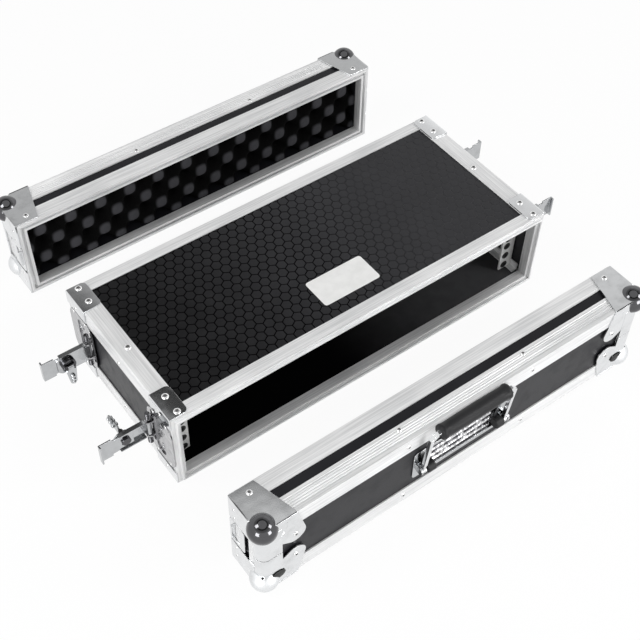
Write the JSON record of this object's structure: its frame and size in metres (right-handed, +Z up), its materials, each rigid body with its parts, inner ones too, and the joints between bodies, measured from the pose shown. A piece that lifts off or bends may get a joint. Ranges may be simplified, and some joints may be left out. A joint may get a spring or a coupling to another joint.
{
  "type": "rack case",
  "caption": "Shallow two-unit 19 inch rack flight case with lift-off front and rear lids, ball corners, butterfly latches and a sprung carrying handle.",
  "frame": {"origin": "centre of the whole object in plan, at the plane the lids stand on", "axes": "+X along the case from the left end to the right end, +Y from the front lid to the rear lid, +Z up"},
  "size_m": [0.6408, 0.573, 0.1257],
  "materials": {
    "laminate": "black plastic laminate over plywood, honeycomb embossed",
    "aluminium": "satin anodised extrusion",
    "chrome": "bright plated pressed steel",
    "zinc": "zinc plated steel",
    "foam": "dark open cell foam, egg-crate form",
    "grip_rubber": "moulded black rubber"
  },
  "bodies": {
    "case_body": {"top_panel": "laminate", "bottom_panel": "laminate", "left_end_panel": "laminate", "right_end_panel": "laminate", "front_closing_frame": "aluminium", "rear_closing_frame": "aluminium", "top_right_edge_angle": "aluminium", "top_left_edge_angle": "aluminium", "bottom_right_edge_angle": "aluminium", "bottom_left_edge_angle": "aluminium", "front_right_rack_rail": "zinc", "front_left_rack_rail": "zinc", "rear_right_rack_rail": "zinc", "rear_left_rack_rail": "zinc", "front_left_latch_dish": "chrome", "front_right_latch_dish": "chrome", "rear_left_latch_dish": "chrome", "rear_right_latch_dish": "chrome"},
    "front_lid": {"front_lid_face_panel": "laminate", "front_lid_walls": "laminate", "front_lid_closing_frame": "aluminium", "front_lid_outer_frame": "aluminium", "front_lid_foam": "foam", "front_lid_corner_top_left": "chrome", "front_lid_corner_top_right": "chrome", "front_lid_corner_bottom_left": "chrome", "front_lid_corner_bottom_right": "chrome", "front_lid_strike_left": "chrome", "front_lid_strike_right": "chrome", "handle_dish": "chrome"},
    "rear_lid": {"rear_lid_face_panel": "laminate", "rear_lid_walls": "laminate", "rear_lid_closing_frame": "aluminium", "rear_lid_outer_frame": "aluminium", "rear_lid_foam": "foam", "rear_lid_corner_top_left": "chrome", "rear_lid_corner_top_right": "chrome", "rear_lid_corner_bottom_left": "chrome", "rear_lid_corner_bottom_right": "chrome", "rear_lid_strike_left": "chrome", "rear_lid_strike_right": "chrome"},
    "carrying_handle": {"handle_bail": "chrome", "handle_grip": "grip_rubber"},
    "front_left_latch_arm_body": {"front_left_latch_arm": "chrome"},
    "front_left_latch_hook_body": {"front_left_latch_hook": "chrome"},
    "front_left_latch_cam_body": {"front_left_latch_cam": "chrome"},
    "front_left_latch_wing_body": {"front_left_latch_wing": "chrome"},
    "front_right_latch_arm_body": {"front_right_latch_arm": "chrome"},
    "front_right_latch_hook_body": {"front_right_latch_hook": "chrome"},
    "front_right_latch_cam_body": {"front_right_latch_cam": "chrome"},
    "front_right_latch_wing_body": {"front_right_latch_wing": "chrome"},
    "rear_left_latch_arm_body": {"rear_left_latch_arm": "chrome"},
    "rear_left_latch_hook_body": {"rear_left_latch_hook": "chrome"},
    "rear_left_latch_cam_body": {"rear_left_latch_cam": "chrome"},
    "rear_left_latch_wing_body": {"rear_left_latch_wing": "chrome"},
    "rear_right_latch_arm_body": {"rear_right_latch_arm": "chrome"},
    "rear_right_latch_hook_body": {"rear_right_latch_hook": "chrome"},
    "rear_right_latch_cam_body": {"rear_right_latch_cam": "chrome"},
    "rear_right_latch_wing_body": {"rear_right_latch_wing": "chrome"}
  },
  "joints": [
    {"name": "front_lid_slide", "type": "slide", "parent": "case_body", "child": "front_lid", "axis": [0, 1, 0], "range_m": [0, 0.1037]},
    {"name": "rear_lid_slide", "type": "slide", "parent": "case_body", "child": "rear_lid", "axis": [0, -1, 0], "range_m": [0, 0.1182]},
    {"name": "handle_hinge", "type": "hinge", "parent": "front_lid", "child": "carrying_handle", "pos_m": [0, -0.2714, 0.053], "axis": [1, 0, 0], "range_deg": [0, 80], "stiffness_Nm_per_rad": 0.15, "springref_deg": -17.19},
    {"name": "front_left_arm_hinge", "type": "hinge", "parent": "case_body", "child": "front_left_latch_arm_body", "pos_m": [-0.2612, -0.065, 0.0605], "axis": [0, 0, 1], "range_deg": [0, 90]},
    {"name": "front_left_hook_slide", "type": "slide", "parent": "front_left_latch_arm_body", "child": "front_left_latch_hook_body", "axis": [1, 0, 0], "range_m": [0, 0.004]},
    {"name": "front_left_cam_turn", "type": "hinge", "parent": "front_left_latch_arm_body", "child": "front_left_latch_cam_body", "pos_m": [-0.2892, -0.065, 0.0605], "axis": [0, -1, 0], "range_deg": [0, 180]},
    {"name": "front_left_wing_fold", "type": "hinge", "parent": "front_left_latch_cam_body", "child": "front_left_latch_wing_body", "pos_m": [-0.2892, -0.0549, 0.0605], "axis": [0, 0, 1], "range_deg": [0, 90]},
    {"name": "front_right_arm_hinge", "type": "hinge", "parent": "case_body", "child": "front_right_latch_arm_body", "pos_m": [0.2612, -0.065, 0.0605], "axis": [0, 0, -1], "range_deg": [0, 90]},
    {"name": "front_right_hook_slide", "type": "slide", "parent": "front_right_latch_arm_body", "child": "front_right_latch_hook_body", "axis": [-1, 0, 0], "range_m": [0, 0.004]},
    {"name": "front_right_cam_turn", "type": "hinge", "parent": "front_right_latch_arm_body", "child": "front_right_latch_cam_body", "pos_m": [0.2892, -0.065, 0.0605], "axis": [0, 1, 0], "range_deg": [0, 180]},
    {"name": "front_right_wing_fold", "type": "hinge", "parent": "front_right_latch_cam_body", "child": "front_right_latch_wing_body", "pos_m": [0.2892, -0.0549, 0.0605], "axis": [0, 0, -1], "range_deg": [0, 90]},
    {"name": "rear_left_arm_hinge", "type": "hinge", "parent": "case_body", "child": "rear_left_latch_arm_body", "pos_m": [-0.2612, 0.065, 0.0605], "axis": [0, 0, -1], "range_deg": [0, 90]},
    {"name": "rear_left_hook_slide", "type": "slide", "parent": "rear_left_latch_arm_body", "child": "rear_left_latch_hook_body", "axis": [1, 0, 0], "range_m": [-0.002, 0.002]},
    {"name": "rear_left_cam_turn", "type": "hinge", "parent": "rear_left_latch_arm_body", "child": "rear_left_latch_cam_body", "pos_m": [-0.2892, 0.065, 0.0605], "axis": [0, -1, 0], "range_deg": [-90, 90]},
    {"name": "rear_left_wing_fold", "type": "hinge", "parent": "rear_left_latch_cam_body", "child": "rear_left_latch_wing_body", "pos_m": [-0.2892, 0.0549, 0.0605], "axis": [1, 0, 0], "range_deg": [-90, 0]},
    {"name": "rear_right_arm_hinge", "type": "hinge", "parent": "case_body", "child": "rear_right_latch_arm_body", "pos_m": [0.2612, 0.065, 0.0605], "axis": [0, 0, 1], "range_deg": [0, 90]},
    {"name": "rear_right_hook_slide", "type": "slide", "parent": "rear_right_latch_arm_body", "child": "rear_right_latch_hook_body", "axis": [-1, 0, 0], "range_m": [-0.002, 0.002]},
    {"name": "rear_right_cam_turn", "type": "hinge", "parent": "rear_right_latch_arm_body", "child": "rear_right_latch_cam_body", "pos_m": [0.2892, 0.065, 0.0605], "axis": [0, 1, 0], "range_deg": [-90, 90]},
    {"name": "rear_right_wing_fold", "type": "hinge", "parent": "rear_right_latch_cam_body", "child": "rear_right_latch_wing_body", "pos_m": [0.2892, 0.0549, 0.0605], "axis": [1, 0, 0], "range_deg": [-90, 0]}
  ],
  "couplings": [
    {"joint": "front_left_cam_turn", "follows": "front_left_hook_slide", "rad_per_m": 785.39},
    {"joint": "front_right_cam_turn", "follows": "front_right_hook_slide", "rad_per_m": 785.39},
    {"joint": "rear_left_cam_turn", "follows": "rear_left_hook_slide", "rad_per_m": 785.39},
    {"joint": "rear_right_cam_turn", "follows": "rear_right_hook_slide", "rad_per_m": 785.39}
  ]
}
